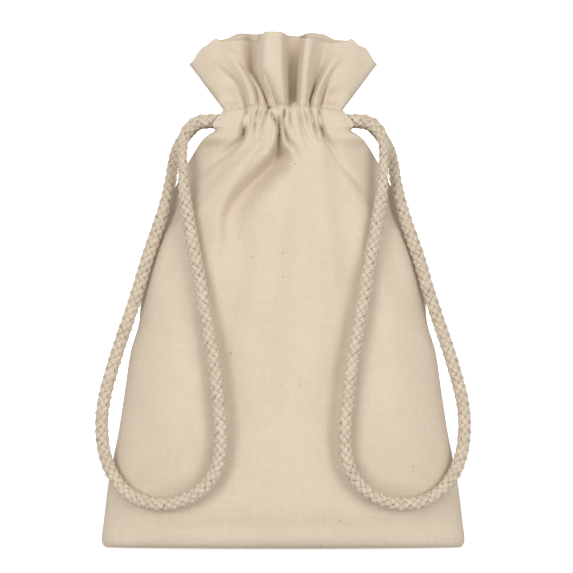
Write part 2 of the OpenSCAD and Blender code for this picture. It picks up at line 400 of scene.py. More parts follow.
def braid(line):
    """Strands of a round braid along a centreline in millimetres, on a plain core."""
    tangent, normal, binormal = turning_frames(line)
    along = np.concatenate([[0], np.cumsum(np.linalg.norm(np.diff(line, axis=0), axis=1))])
    turn = 2 * math.pi * along / BRAID_PITCH
    weave = np.cos(STRANDS_EACH_WAY * turn)
    corners = np.arange(STRAND_SIDES) * 2 * math.pi / STRAND_SIDES
    core = tube(line, CORE_RADIUS, STRAND_SIDES, MM)
    # The cord material colours this core near-black all over: painted shade for the gaps between the strands.
    parts = [(core[0], core[1], core[2] + np.array([0, 2.0]))]  # V above 1 tells the core from the strands
    for way in (1, -1):
        for k in range(STRANDS_EACH_WAY):
            angle = 2 * math.pi * k / STRANDS_EACH_WAY + way * turn
            out = np.cos(angle)[:, None] * normal + np.sin(angle)[:, None] * binormal
            centre = line + out * (STRAND_RADIUS + way * WEAVE_DEPTH * weave)[:, None]
            ahead = np.gradient(centre, axis=0)
            ahead /= np.linalg.norm(ahead, axis=1)[:, None]
            side = np.cross(ahead, out)
            side /= np.linalg.norm(side, axis=1)[:, None]
            lift = np.cross(side, ahead)
            puff = (0.86 + 0.22 * way * weave)[:, None, None]
            ring = puff * (side[:, None] * (STRAND_HALF[0] * np.cos(corners))[None, :, None]
                           + lift[:, None] * (STRAND_HALF[1] * np.sin(corners))[None, :, None])
            points = (centre[:, None] + ring).reshape(-1, 3)
            faces = grid_faces(len(line), STRAND_SIDES, closed=True)
            last = (len(line) - 1) * STRAND_SIDES
            faces += [list(range(STRAND_SIDES))[::-1], [last + s for s in range(STRAND_SIDES)]]
            uvs = np.stack([np.repeat(along * MM * 1.35 + 0.13 * k, STRAND_SIDES),
                            np.tile(corners / (2 * math.pi), len(line))], axis=1)
            parts.append((points, faces, uvs))
    points, faces, uvs = join_parts(parts)
    tubes = 1 + 2 * STRANDS_EACH_WAY
    middle = np.tile(np.repeat(line, STRAND_SIDES, axis=0), (tubes, 1))
    sideways = np.tile(np.repeat(binormal, STRAND_SIDES, axis=0), (tubes, 1))
    reach = np.sum((points - middle) * sideways, axis=1) * (pressed(middle[:, 2]) - 1)
    return points + sideways * reach[:, None], faces, uvs


def make_cord(side):
    """Half of the drawcord, with its loop. side is -1 for left and 1 for right."""
    name = "left" if side < 0 else "right"
    y, z = LOOP_ROUTE[0][1], LOOP_ROUTE[0][2]
    route = [(-x, y, z) for x in CASING_PLACES] + LOOP_ROUTE + [(-x, -y, z) for x in CASING_PLACES[::-1]]
    route = [(-side * p[0], p[1], p[2]) for p in route]
    line, length = spline(np.array(route) / MM, BRAID_STEP)
    points, faces, uvs = braid(line)
    cord = make_object(f"{name}_drawcord", points * MM, faces, uvs)
    dress(cord, CORD)
    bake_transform(cord)
    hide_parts(f"{name}_cord_front_run", f"{name}_cord_back_run", f"{name}_cord_loop")


make_cord(-1)
make_cord(1)
print("CORDS done")

# ---------------------------------------------------------------- the cloth's designed shape
# All sizes below are in millimetres: x across, z up, and depth from the middle plane outward.

NECK_Z, NECK_SAG = 169.6, 1.4   # the upper row of stitches, in the middle, and how far it sags to its ends
NECK_X = 22.8                   # the end of that row
LOWER_Z = 158.9                 # the lower row of stitches
CORNER_X, CORNER_Z = 36.2, 186.0  # the rim's outer corner
TOP_Z = 199                     # the sack's full height
FLAT_W, FLAT_H = 140.0, 205.0   # each sheet laid flat
CLOTH_T, LINING_T = 0.45, 0.4
FLOOR_GAP, FLOOR_BEND = 0.25, 5.0  # the cloth's lowest point, and how high it turns up from the floor
CORD_Y, CORD_Z = 6.75, 164.0    # the cord inside a casing
HEADER_DEPTH, HEADER_FLARE = 9.6, 0.9
RIPPLE = 0.22                   # the height of the body's slow waves
UPPER_GROOVE, LOWER_GROOVE = (0.9, 0.7), (0.12, 0.8)  # depth and half width of each row's groove
TUNNEL_RADIUS, TUNNEL_PLAY = 3.1, 0.5  # how the cord holds a casing out

# Height, half width and half depth of the sack below the neck.
BODY = [
    (0, 68.0, 16.0), (0.8, 69.0, 17.2), (3, 69.8, 18.6), (10, 69.0, 20.8), (25, 67.2, 22.4), (45, 63.2, 23.8),
    (60, 60.9, 24.2), (75, 58.7, 24.2), (88, 55.2, 24.0), (97, 54.6, 23.6), (110, 52.4, 22.8),
    (120, 49.4, 21.6), (130, 45.4, 20.0), (138, 41.8, 18.2), (148, 36.6, 15.8), (151.5, 34.5, 15.0),
    (154.2, 32.9, 14.4), (156.4, 31.3, 13.9), (158.6, 28.6, 13.4), (159.5, 26.9, 13.2),
    (160.2, 26.0, 13.05), (162.2, 26.9, 12.6), (164.2, 25.9, 12.2), (166.3, 24.2, 11.7),
    (168.2, 22.9, 11.1), (NECK_Z, NECK_X, 10.6),
]
# How round the cross-section is towards its edges: the power of the lens.
LENS = [(0, 0.47), (20, 0.45), (34, 0.40), (55, 0.36), (80, 0.36), (100, 0.40), (110, 0.42),
        (126, 0.46), (142, 0.46), (150, 0.32), (156, 0.18), (161, 0.12), (168, 0.12), (174, 0.40), (200, 0.42)]
# The edge where the front turns away into the shoulder: height, distance from the middle, and how clear it is.
SHOULDER = [(78, 53.4, 0), (92, 51.0, 0.35), (102, 50.3, 0.85), (111, 48.6, 0.95), (121, 44.4, 0.95),
            (126, 37.5, 0.95), (131.4, 31.0, 0.97), (140.7, 24.4, 0.97), (147.9, 20.0, 0.95),
            (153.3, 17.0, 0.70), (158, 15.0, 0)]
# The rim from left to right, as the front and the back have it.
FRONT_RIM = [(-36.2, 186.0), (-31.4, 191.6), (-29.3, 192.8), (-25.6, 195.2), (-22.8, 194.2), (-16, 194.6),
             (-10.5, 194.0), (-8.5, 193.6), (-7.7, 197.2), (-5.5, 197.6), (-1.2, 197.5), (1.6, 196.6),
             (5.2, 195.4), (8.6, 195.2), (12, 195.1), (17, 193.8), (22, 193.7), (26.2, 195.1), (28.8, 193.0),
             (31.6, 191.8), (33.2, 189.8), (36.2, 186.0)]
BACK_RIM = [(-36.2, 186.0), (-31.4, 192.2), (-26, 195.6), (-22.6, 196.3), (-16.4, 198.2), (-8, 198.5),
            (0, 198.4), (6, 197.8), (10.6, 198.6), (15.5, 198.3), (20.1, 196.2), (26, 195.4), (31.4, 192.2),
            (36.2, 186.0)]


def fold(power, *path):
    """A fold along (z, x, height, width on its left, width on its right). A valley's height is negative.
    A power of 1 makes a sharp crease, 2 a soft fold and 4 or more a flat one with steep sides."""
    return power, sorted(path)


FOLDS = [
    # the broad pleat in the middle of the header, and the creases on it
    fold(5, (169, -0.7, 1.5, 2.2, 2.2), (170.7, -0.9, 2.4, 2.5, 2.5), (177, -2.4, 4.4, 4.0, 4.3),
         (184, -3.9, 5.2, 5.2, 5.2), (190, -3.9, 4.8, 4.9, 4.9), (200, -3.6, 3.8, 4.3, 4.3)),
    fold(1.3, (168, -1.8, -1.0, 0.5, 0.9), (171, -2.6, -3.0, 0.5, 1.0), (178.5, -5.7, -2.2, 0.5, 1.3),
         (184, -8.0, 0, 0.6, 1.4)),
    # the deep valleys on both sides of it
    fold(2.4, (169, -5.9, -2.5, 0.7, 0.7), (172, -6.6, -4.6, 0.7, 0.7), (176, -7.9, -3.8, 0.9, 0.7),
         (180, -9.7, -5.4, 1.2, 0.7), (184, -11.2, -6.4, 2.3, 0.8), (190, -11.2, -6.0, 3.2, 1.0),
         (200, -10.6, -3.6, 3.8, 1.3)),
    fold(4, (168.6, 3.9, -2.0, 2.2, 2.2), (170.5, 3.7, -6.5, 2.2, 2.0), (175, 3.5, -7.6, 2.4, 2.1),
         (184, 3.6, -7.2, 2.7, 2.4), (190, 3.8, -5.0, 3.1, 3.0), (200, 4.4, -1.8, 3.6, 3.8)),
    # the left fan
    fold(1.5, (170, -9.8, -2.4, 0.5, 0.8), (172.3, -9.9, -3.0, 0.5, 0.8), (176.4, -10.9, -2.8, 0.5, 1.0),
         (180.5, -12.6, -2.4, 0.6, 1.4), (184.1, -14.8, -1.8, 0.8, 2.4), (188.3, -18.0, -1.2, 1.2, 3.0),
         (193, -22.7, 0, 1.6, 3.4)),
    fold(2, (170, -12.2, 0.8, 1.2, 1.2), (178, -14.0, 1.6, 1.6, 1.6), (186, -17.5, 1.4, 2.6, 2.6),
         (198, -20, 0.8, 4.0, 4.0)),
    fold(1.5, (169, -14.0, -1.8, 1.2, 0.5), (171, -14.1, -3.4, 1.6, 0.5), (174.4, -15.2, -3.2, 2.2, 0.6),
         (178.5, -17.8, -2.2, 3.0, 1.0), (182, -21.8, -1.5, 3.6, 1.6), (188, -26.5, 0, 4.0, 2.4)),
    fold(2, (170, -19.2, -2.2, 2.6, 2.6), (172.5, -19.6, -2.6, 3.0, 3.0), (178, -21.6, -0.8, 3.6, 3.6),
         (184, -24.0, 0, 4.0, 4.0)),
    # the right fan
    fold(3, (169, 7.6, 0.8, 1.6, 1.6), (175.4, 8.0, 2.4, 1.9, 1.7), (185.7, 8.8, 3.0, 2.2, 2.2),
         (200, 10.2, 2.2, 2.6, 2.8)),
    fold(1.8, (169, 10.4, -1.8, 0.7, 0.6), (171.3, 10.4, -4.4, 0.9, 0.6), (175.4, 11.6, -5.0, 1.2, 0.9),
         (180.5, 13.2, -4.8, 1.8, 1.7), (188, 15.2, -4.0, 2.8, 3.0), (198, 16.6, -2.2, 3.6, 3.8)),
    fold(2, (170, 12.6, 0.8, 0.8, 0.8), (178, 14.0, 1.2, 1.2, 1.2), (186, 17.4, 0.6, 2.4, 2.4)),
    fold(1.4, (169, 14.4, -2.0, 0.5, 0.6), (171, 14.6, -3.4, 0.5, 0.8), (177, 16.2, -2.8, 0.7, 1.3),
         (183.1, 19.4, -1.4, 1.4, 2.2), (190, 24.0, 0, 2.4, 3.0)),
    fold(2, (170, 18.2, -2.4, 2.6, 2.6), (172.5, 18.6, -2.8, 3.0, 3.0), (178, 20.6, -0.9, 3.6, 3.6),
         (186, 24.0, -0.5, 4.0, 4.0), (196, 26.5, 0, 4.0, 4.0)),
    fold(2, (180, 27.0, 0, 4.0, 4.0), (187, 27.5, 0.7, 4.0, 4.0), (197, 27.0, 0.9, 3.4, 3.4)),
    fold(2, (180, -27.0, 0, 4.0, 4.0), (187, -28.0, 0.8, 4.0, 4.0), (197, -27.0, 1.0, 3.4, 3.4)),
    # the gathers of the casing
    fold(1.6, (169.4, -14.0, -1.8, 0.6, 0.6), (165, -14.0, -3.4, 0.8, 0.7), (162, -14.7, -6.0, 1.1, 0.9),
         (158, -15.2, -5.2, 1.5, 1.0), (155, -17.2, -3.8, 2.2, 1.4), (152, -20.6, -2.8, 3.4, 1.8),
         (148.6, -25.0, -2.2, 4.4, 2.4), (145, -29.4, -1.4, 5.0, 3.2), (140, -33.5, 0, 6.0, 4.0)),
    fold(1.6, (169.4, -12.4, -0.8, 0.5, 0.5), (164, -12.7, -1.6, 0.6, 0.6), (157, -13.2, 0, 0.9, 0.9)),
    fold(1.6, (169.4, -9.6, -1.4, 0.5, 0.5), (164.5, -10.4, -2.6, 0.5, 0.5), (159, -11.2, -1.6, 0.8, 0.8),
         (154, -12.4, 0, 1.4, 1.4)),
    fold(1.6, (169.2, -8.0, -0.8, 0.4, 0.4), (165.5, -8.7, -1.6, 0.5, 0.5), (160, -9.6, 0, 0.8, 0.8)),
    fold(1.6, (168.8, 2.4, -0.8, 0.5, 0.5), (165, 2.6, -1.8, 0.5, 0.5), (160.5, 3.4, -1.0, 0.7, 0.7),
         (155, 5.2, 0, 1.2, 1.2)),
    fold(1.6, (168.6, 8.2, -0.8, 0.5, 0.5), (165, 9.0, -1.7, 0.5, 0.5), (160, 10.2, -0.9, 0.8, 0.8),
         (155, 12.0, 0, 1.2, 1.2)),
    fold(1.4, (168.8, -5.7, -2.6, 0.7, 0.5), (166, -6.6, -2.8, 0.6, 0.5), (162.6, -7.8, -2.0, 0.6, 0.6),
         (158, -9.0, -1.0, 1.0, 1.0), (153, -11.0, 0, 1.6, 1.6)),
    fold(1.4, (167.4, -4.9, -1.0, 0.5, 0.5), (165.4, -3.9, -3.4, 0.6, 0.6), (162.8, -2.6, -3.2, 0.6, 0.6),
         (160.8, -2.0, -1.0, 0.6, 0.6)),
    fold(1.9, (166.5, -1.6, -0.8, 0.6, 0.6), (163, -1.5, -4.0, 0.7, 0.7), (158, -1.4, -5.8, 0.9, 0.8),
         (154, -1.6, -7.2, 1.4, 1.4), (151.5, -1.6, -8.8, 2.4, 3.0), (148.6, -2.8, -9.2, 3.6, 4.4),
         (144.6, -6.2, -9.2, 4.5, 6.0), (140, -11.2, -9.0, 4.3, 6.6), (134.7, -16.2, -8.0, 3.8, 6.6),
         (130, -19.2, -6.6, 3.4, 6.2), (125.4, -20.9, -5.0, 2.9, 5.6), (120, -21.2, -3.0, 2.7, 5.4),
         (111, -20.2, 0, 5.0, 6.0)),
    fold(2, (155, 0.4, -0.6, 1.2, 1.6), (151, 1.6, -1.8, 2.4, 2.6), (147, 1.0, -1.8, 3.4, 3.4),
         (141, -2.0, 0, 5, 5)),
    fold(1.4, (169, 0.7, -1.2, 0.5, 0.5), (166.5, 0.4, -3.0, 0.5, 0.5), (163, -0.2, -1.8, 0.5, 0.5),
         (160, -0.6, 0, 0.6, 0.6)),
    fold(1.5, (163.5, -0.3, -0.8, 0.5, 0.6), (161.4, 0.2, -2.4, 0.5, 0.7), (157, 1.6, -3.6, 0.7, 1.0),
         (154.6, 3.0, -2.8, 0.9, 1.6), (150, 5.4, -1.4, 1.6, 2.4), (142, 8.0, 0, 3.0, 4.0)),
    fold(1.8, (169, 6.0, -1.0, 0.6, 0.6), (164, 6.6, -2.0, 0.7, 0.7), (158, 8.2, -1.4, 1.1, 1.1),
         (151, 12.0, -0.5, 2.4, 2.4), (143, 17.0, 0, 4.0, 4.0)),
    fold(1.5, (169, 10.4, -1.6, 0.5, 0.5), (163, 11.6, -3.0, 0.6, 0.6), (159.6, 12.6, -2.6, 0.8, 0.8),
         (154, 14.6, 0, 1.4, 1.4)),
    fold(1.5, (169, 13.8, -1.8, 0.5, 0.5), (164, 14.1, -3.2, 0.6, 0.7), (160, 14.9, -4.8, 0.9, 1.0),
         (157, 16.0, -4.0, 1.2, 1.4), (152.6, 18.8, -2.8, 1.6, 2.0), (146.6, 22.4, -2.4, 2.2, 2.8),
         (141, 27.4, -1.8, 3.0, 3.4), (135, 32.4, -0.8, 4.0, 4.0), (128, 36.0, 0, 4.0, 4.0)),
    # soft swells of the body
    fold(2, (156, 6.0, 0.6, 3.0, 3.0), (148, 12.0, 1.4, 4.5, 4.5), (138, 20.0, 1.2, 6.0, 6.0),
         (126, 26.0, 0.5, 8.0, 8.0), (112, 30.0, 0, 9.0, 9.0)),
    fold(2, (157, -8.6, 1.4, 2.6, 2.4), (151, -12.2, 2.4, 3.8, 3.2), (145, -17.8, 2.4, 4.6, 3.6),
         (138, -23.8, 1.8, 5.2, 4.2), (130, -28.6, 0.9, 5.6, 4.6), (118, -32.0, 0, 7.0, 7.0)),
    fold(2, (150, 2.0, 0.8, 4.0, 4.0), (144, -2.0, 1.4, 5.0, 5.0), (136, -10.0, 1.2, 6.0, 6.0),
         (126, -14.0, 0.5, 7.0, 7.0), (114, -14.0, 0, 8.0, 8.0)),
    fold(2, (22, -40.0, 0, 5.0, 5.0), (12, -52.0, -0.8, 5.0, 5.0), (5, -62.0, -0.6, 4.0, 4.0),
         (1, -67.0, 0, 3, 3)),
    fold(2, (24, 42.0, 0, 5.0, 5.0), (13, 53.0, -0.8, 5.0, 5.0), (5, 62.0, -0.6, 4.0, 4.0),
         (1, 67.0, 0, 3, 3)),
    fold(2, (60, -12.0, 0, 10, 10), (45, -6.0, -0.7, 9, 9), (25, 4.0, -0.5, 9, 9), (10, 10.0, 0, 8, 8)),
    fold(2, (124, 6.0, 0, 9, 9), (108, 11.0, -1.1, 10, 8), (90, 15.0, -1.9, 12, 8), (70, 16.0, -1.9, 13, 7),
         (50, 12.0, -1.2, 13, 8), (28, 6.0, 0, 12, 10)),
    # the cloth dips on the middle's side of each loop, and swells inside it
    fold(2, (112, -28.0, 0, 3, 5), (100, -26.4, -0.6, 3, 5), (84, -23.4, -1.2, 3, 5), (66, -20.4, -1.6, 3, 5.5),
         (46, -18.2, -1.7, 3, 6), (32, -19.2, -1.5, 3, 6), (22, -24.0, -0.8, 4, 6), (12, -30.0, 0, 6, 6)),
    fold(2, (112, 28.0, 0, 5, 3), (100, 26.4, -0.6, 5, 3), (84, 23.4, -1.2, 5, 3), (66, 20.4, -1.6, 5.5, 3),
         (46, 18.2, -1.7, 6, 3), (32, 19.2, -1.5, 6, 3), (22, 24.0, -0.8, 6, 4), (12, 30.0, 0, 6, 6)),
    fold(2, (124, -40, 0, 5, 5), (100, -40, 0.8, 6, 6), (70, -42, 1.4, 8, 7), (46, -43, 1.6, 9, 8),
         (26, -46, 0, 9, 8)),
    fold(2, (124, 40, 0, 5, 5), (100, 40, 0.8, 6, 6), (70, 42, 1.4, 7, 8), (46, 43, 1.6, 8, 9),
         (26, 46, 0, 8, 9)),
    fold(2, (104, -18.0, 0, 8, 8), (84, -22.0, -0.5, 8, 8), (60, -20.0, -0.5, 9, 9), (40, -18.0, 0, 8, 8)),
]
# Small puffs and pits between the gathers: x, z, height, half width, half height.
PUCKERS = [(4.1, 170.2, 5.4, 1.5, 1.2), (-5.2, 168.9, -3.6, 0.8, 0.6), (-12.6, 170.0, 0.9, 0.9, 0.8),
           (-8.4, 170.0, 1.2, 1.2, 0.9), (-2.0, 168.9, 1.0, 1.0, 0.8), (7.4, 169.6, 0.9, 1.5, 0.8),
           (12.2, 169.4, 0.9, 1.0, 0.8), (-2.9, 151.4, -1.4, 1.6, 1.2)]


def back_folds():
    """The back gathers in the same way, a little less evenly: the front's folds, turned and shifted."""
    folds = []
    for k, (power, path) in enumerate(FOLDS):
        shift = 1.3 * math.sin(2.1 * k)
        share = 0.85 + 0.25 * math.sin(1.7 * k + 0.6)
        folds.append((power, [(z, -x + shift * min(1.0, abs(x) / 6), height * share, right, left)
                              for z, x, height, left, right in path]))
    return folds


def fold_depth(x, z, folds, puckers):
    """How far all the folds and puckers together lift the cloth."""
    total = np.zeros(np.broadcast(x, z).shape)
    for power, path in folds:
        low, high = path[0][0], path[-1][0]
        middle, height, left, right = (smooth_curve(path, z, c) for c in (1, 2, 3, 4))
        fade = np.clip((z - low + 1.0) / 2.0, 0, 1) * np.clip((high + 1.0 - z) / 2.0, 0, 1)
        across = np.abs(x - middle) / np.where(x < middle, left, right)
        total += height * fade * np.exp(-across ** power)
    for px, pz, height, wide, tall in puckers:
        total += height * np.exp(-((x - px) / wide) ** 2 - ((z - pz) / tall) ** 2)
    return total


def smooth_step(value, low, high):
    t = np.clip((value - low) / (high - low), 0, 1)
    return t * t * (3 - 2 * t)


def neck_line(x):
    """Height of the upper row of stitches."""
    return NECK_Z - NECK_SAG * (x / NECK_X) ** 2


def opening(z):
    """1 where the casing is open at its ends, so that the front and the back stand apart, and 0 elsewhere."""
    return smooth_step(z, 159.6, 161.4) * (1 - smooth_step(z, 166.8, 169.2))


def panel_depth(x, z, u, folds, puckers):
    """How far the cloth stands out from the middle plane. u is from -1 to 1 across it."""
    above = z - neck_line(x)
    header = HEADER_DEPTH + HEADER_FLARE * smooth_step(above, 0, 30)
    base = np.where(above > 0, header, smooth_curve(BODY, z, 2))
    power = smooth_curve(LENS, z)
    lens = np.maximum(opening(z) * (1 - 0.16 * u * u), np.maximum(0, 1 - u * u) ** power)
    turn, wide = smooth_curve(SHOULDER, z, 1), smooth_curve(BODY, z, 1)
    past = np.abs(x) - turn
    past = np.clip((past + np.sqrt(past * past + 0.5)) / 2 / np.maximum(wide - turn, 1), 0, 1)
    inner = np.minimum(np.abs(u), turn / wide)
    slope = np.maximum(0, 1 - inner * inner) ** power * (1 - past ** 1.1)
    share = smooth_curve(SHOULDER, z, 2) * np.where(x < 0, 1.0, 0.85)
    lens = lens + share * (np.minimum(lens, slope) - lens)
    ripple = RIPPLE * np.sin(x * 0.21 + z * 0.13) * np.sin(z * 0.17 - x * 0.05 + 1.0)
    ripple = ripple * smooth_step(-above, 8, 40)
    edge = 1 - np.abs(u) ** 10
    groove = UPPER_GROOVE[0] * np.exp(-(above / UPPER_GROOVE[1]) ** 2)
    lower = LOWER_GROOVE[0] * np.exp(-((z - LOWER_Z) / LOWER_GROOVE[1]) ** 2)
    fine = fold_depth(x, z, folds, puckers) + ripple - (groove + lower) * np.clip(lens * 1.2, 0, 1)
    depth = base * lens + edge * fine
    around = np.sqrt(np.maximum(0, TUNNEL_RADIUS ** 2 - (z - CORD_Z) ** 2))
    held_out = np.where((around > 0) & (np.abs(x) > 3.5), CORD_Y + TUNNEL_PLAY + around, 0)
    return np.maximum(np.maximum(depth, held_out * (np.abs(u) <= 1)), 0.0)


# ---------------------------------------------------------------- panels as grids

COLUMNS = 184
FLOOR_ROWS, BODY_ROWS, HEADER_ROWS = 7, 176, 44
SPREAD = np.linspace(-1, 1, COLUMNS + 1)
SPREAD = 0.6 * SPREAD + 0.4 * np.sin(SPREAD * 1.5) / math.sin(1.5)


def panel_grid(folds, puckers, rim):
    """Points of a panel, rows up from the bottom seam and columns from left to right, seen from the front."""
    u = SPREAD
    rows = []
    for a in np.linspace(0, math.pi / 2, FLOOR_ROWS, endpoint=False):
        z = np.full_like(u, FLOOR_GAP + FLOOR_BEND * (1 - math.cos(a) ** 0.5))
        x = smooth_curve(BODY, z, 1) * u
        rows.append(np.stack([x, -math.sin(a) ** 0.5 * panel_depth(x, z, u, folds, puckers), z], axis=1))
    start = FLOOR_GAP + FLOOR_BEND
    for level in start + (NECK_Z - start) * (1 - (1 - np.linspace(0, 1, BODY_ROWS)) ** 1.5):
        z = level - NECK_SAG * u * u * smooth_step(level, 157, NECK_Z)
        x = smooth_curve(BODY, z, 1) * u
        rows.append(np.stack([x, -panel_depth(x, z, u, folds, puckers), z], axis=1))
    top = smooth_curve(rim, CORNER_X * u)
    for k in np.linspace(0, 1, HEADER_ROWS + 1)[1:]:
        foot = NECK_Z - NECK_SAG * u * u
        z = foot + k * (top - foot)
        x = u * (NECK_X + k * (CORNER_X - NECK_X))
        rows.append(np.stack([x, -panel_depth(x, z, u, folds, puckers), z], axis=1))
    return np.array(rows)


def flat_uvs(grid):
    """Where each point lies on the flat cloth, in metres, by the lengths along rows and columns."""
    rows = np.linalg.norm(np.diff(grid, axis=1), axis=2)
    across = np.concatenate([np.zeros((len(grid), 1)), np.cumsum(rows, axis=1)], axis=1)
    across = (across / across[:, -1:] - 0.5) * FLAT_W
    middle = grid[:, grid.shape[1] // 2]
    up = np.concatenate([[0], np.cumsum(np.hypot(np.diff(middle[:, 2]), np.diff(middle[:, 1]) * 0.3))])
    up = up / up[-1] * (FLAT_H * np.ptp(middle[:, 2]) / TOP_Z)
    return np.stack([across, np.repeat(up[:, None], grid.shape[1], axis=1)], axis=2).reshape(-1, 2) * MM


FACES = {"front": (FOLDS, PUCKERS, FRONT_RIM, 1), "back": (back_folds(), [], BACK_RIM, -1)}


# ---------------------------------------------------------------- the cloth simulation

SIM_SCALE = 10.0       # the simulated sack is this many times as large, which the solver likes better
SIM_FRAMES = 24
SIM_TOP = 157.0        # the cloth above this height is held by the casing
SLACK = 0.03           # how much more cloth there is than the designed shape needs
SIM_ROW, SIM_COLUMN = 2.8, 4  # millimetres between the coarse grid's rows, and columns between its columns
SWELL_BLUR, SMOOTHING = 30, 6  # passes that find the broad swelling, and that soften the wrinkles
WRINKLE_LIMIT = (1.1, 1.6)  # the most a wrinkle stands out or in, in millimetres
CORD_MARGIN = (3, 8)   # no wrinkle stands out nearer to a loop than the first, and all do beyond the second


def blur(values, times):
    """A grid of values, each mixed with its neighbours that many times."""
    for _ in range(times):
        for axis in (0, 1):
            padded = np.pad(values, [(1, 1) if a == axis else (0, 0) for a in (0, 1)], "edge")
            size = values.shape[axis]
            values = sum(w * np.take(padded, range(k, k + size), axis)
                         for k, w in enumerate((0.25, 0.5, 0.25)))
    return values


def simulate(front, back):
    """Lets a coarse sack, held at the casing and on the floor, settle with some slack.
    Returns its new depths."""
    rows, columns = front.shape[:2]
    front_index = np.arange(rows * columns).reshape(rows, columns)
    back_index = front_index.copy()
    inner = np.arange((rows - 1) * (columns - 2)).reshape(rows - 1, columns - 2)
    back_index[1:, 1:-1] = rows * columns + inner
    points = np.concatenate([front.reshape(-1, 3), back[1:, 1:-1].reshape(-1, 3)])
    faces = []
    for index, flip in ((front_index, False), (back_index, True)):
        flat = index.reshape(-1)
        faces += [[int(flat[i]) for i in face] for face in grid_faces(rows, columns, flip=flip)]
    obj = make_object("settling_cloth", points * MM * SIM_SCALE, faces)
    held = obj.vertex_groups.new(name="held")
    for k, (_, _, z) in enumerate(points):
        weight = max(smooth_step(z, SIM_TOP - 8, SIM_TOP - 2), 1 - smooth_step(z, 3, 9))
        if weight > 0:
            held.add([k], float(weight), "REPLACE")
    cloth = obj.modifiers.new("cloth", "CLOTH")
    cloth.point_cache.frame_start, cloth.point_cache.frame_end = 1, SIM_FRAMES
    settings = cloth.settings
    settings.quality = 6
    settings.mass = 0.25
    settings.tension_stiffness = settings.compression_stiffness = 18
    settings.shear_stiffness = 8
    settings.bending_stiffness = 0.9
    settings.air_damping = 2.0
    settings.vertex_group_mass = "held"
    settings.shrink_min = -SLACK
    settings.use_pressure = True
    settings.uniform_pressure_force = 1.2
    cloth.collision_settings.use_collision = False
    for frame in range(1, SIM_FRAMES + 1):
        scene.frame_set(frame)
    settled = obj.evaluated_get(bpy.context.evaluated_depsgraph_get()).to_mesh()
    moved = np.empty(len(settled.vertices) * 3)
    settled.vertices.foreach_get("co", moved)
    depth = moved.reshape(-1, 3)[:, 1] / (MM * SIM_SCALE)
    bpy.data.objects.remove(obj, do_unlink=True)
    scene.frame_set(1)
    return depth[front_index], depth[back_index]


def wrinkles(grids):
    """How far the simulated cloth stands out from its designed shape at each point of each panel's grid."""
    middle = grids["front"][:, COLUMNS // 2, 2]
    rows = [0]
    for k, z in enumerate(middle):
        if z < SIM_TOP and z - middle[rows[-1]] > SIM_ROW:
            rows.append(k)
    columns = np.arange(0, COLUMNS + 1, SIM_COLUMN)
    coarse = {name: grid[np.ix_(rows, columns)] for name, grid in grids.items()}
    settled = simulate(coarse["front"], coarse["back"])
    cord = spline(np.array(LOOP_ROUTE) / MM, 3.0)[0]
    result = {}
    for (name, grid), after in zip(grids.items(), settled):
        way = FACES[name][3]
        out = (coarse[name][:, :, 1] - after) * way
        out = out - blur(out, SWELL_BLUR)
        out = np.where(out > 0, WRINKLE_LIMIT[0] * np.tanh(out / WRINKLE_LIMIT[0]),
                       WRINKLE_LIMIT[1] * np.tanh(out / WRINKLE_LIMIT[1]))
        out = np.array([np.interp(np.arange(COLUMNS + 1), columns, line) for line in out])
        out = np.array([np.interp(np.arange(len(grid)), rows, line) for line in out.T]).T
        out = blur(out, SMOOTHING)
        z = grid[:, :, 2]
        out *= (1 - SPREAD ** 8) * smooth_step(z, 4, 12) * (1 - smooth_step(z, SIM_TOP - 6, SIM_TOP - 1))
        if way > 0:
            x = np.abs(grid[:, :, 0])
            near = np.min(np.hypot(x[:, :, None] + cord[:, 0], z[:, :, None] - cord[:, 2]), axis=2)
            out = np.where(out > 0, out * smooth_step(near, *CORD_MARGIN), out)
        result[name] = out
    return result


def make_panel(name, grid):
    """The outer sheet of one side of the sack."""
    way = FACES[name][3]
    obj = make_object(f"{name}_cloth", grid.reshape(-1, 3) * MM,
                      grid_faces(*grid.shape[:2], flip=way < 0), flat_uvs(grid))
    return finish_cloth(obj, CLOTH_T)


def finish_cloth(obj, thickness):
    """Gives a sheet its thickness inward, its material and its body."""
    solid = obj.modifiers.new("thickness", "SOLIDIFY")
    solid.thickness = thickness * MM
    solid.offset = -1
    dress(obj, CLOTH)
    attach(obj, "sack")
    return obj


def make_lining(name, grid):
    """The top of the same cloth, turned in over the rim: the header's lining and the casing's inner wall."""
    way = FACES[name][3]
    columns = slice(3, -3, 2)
    outer = grid[::-1, columns] * np.array([1, way, 1])
    outer = outer[outer[:, outer.shape[1] // 2, 2] > LOWER_Z - 1.2]
    inside = np.arange(len(outer))
    inset = np.interp(inside, [0, 1, 2], [0.25, 0.75, 0.95])
    depth = np.maximum(-outer[:, :, 1] - inset[:, None], 0.55)
    height = outer[:, :, 2]
    in_casing = smooth_step(height, LOWER_Z + 0.6, 161.4) * (1 - smooth_step(height, 166.6, 169.4))
    wall = 3.05 + 0.25 * np.sin(outer[:, :, 0] * 1.1)
    depth = depth + in_casing * (np.minimum(depth, wall) - depth)
    below_rim = np.interp(inside, [0, 1, 2], [0, 0.1, 0.1])[:, None]
    lining = np.stack([outer[:, :, 0], -depth * way, height - below_rim], axis=2)
    lining = lining[np.r_[0:3, 3:len(lining):2]]
    obj = make_object(f"{name}_lining", lining.reshape(-1, 3) * MM,
                      grid_faces(*lining.shape[:2], flip=way < 0), flat_uvs(lining))
    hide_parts(f"{name}_facing")
    return finish_cloth(obj, LINING_T)


# ---------------------------------------------------------------- stitches, tacks and seams

def on_cloth(name, x, z, lift):
    """Points that lie on a panel's outside at the given places."""
    folds, puckers, _, way = FACES[name]
    x, z = np.asarray(x, float), np.asarray(z, float)
    u = np.clip(x / smooth_curve(BODY, z, 1), -1, 1)
    return np.stack([x, -way * (panel_depth(x, z, u, folds, puckers) + lift), z], axis=1)


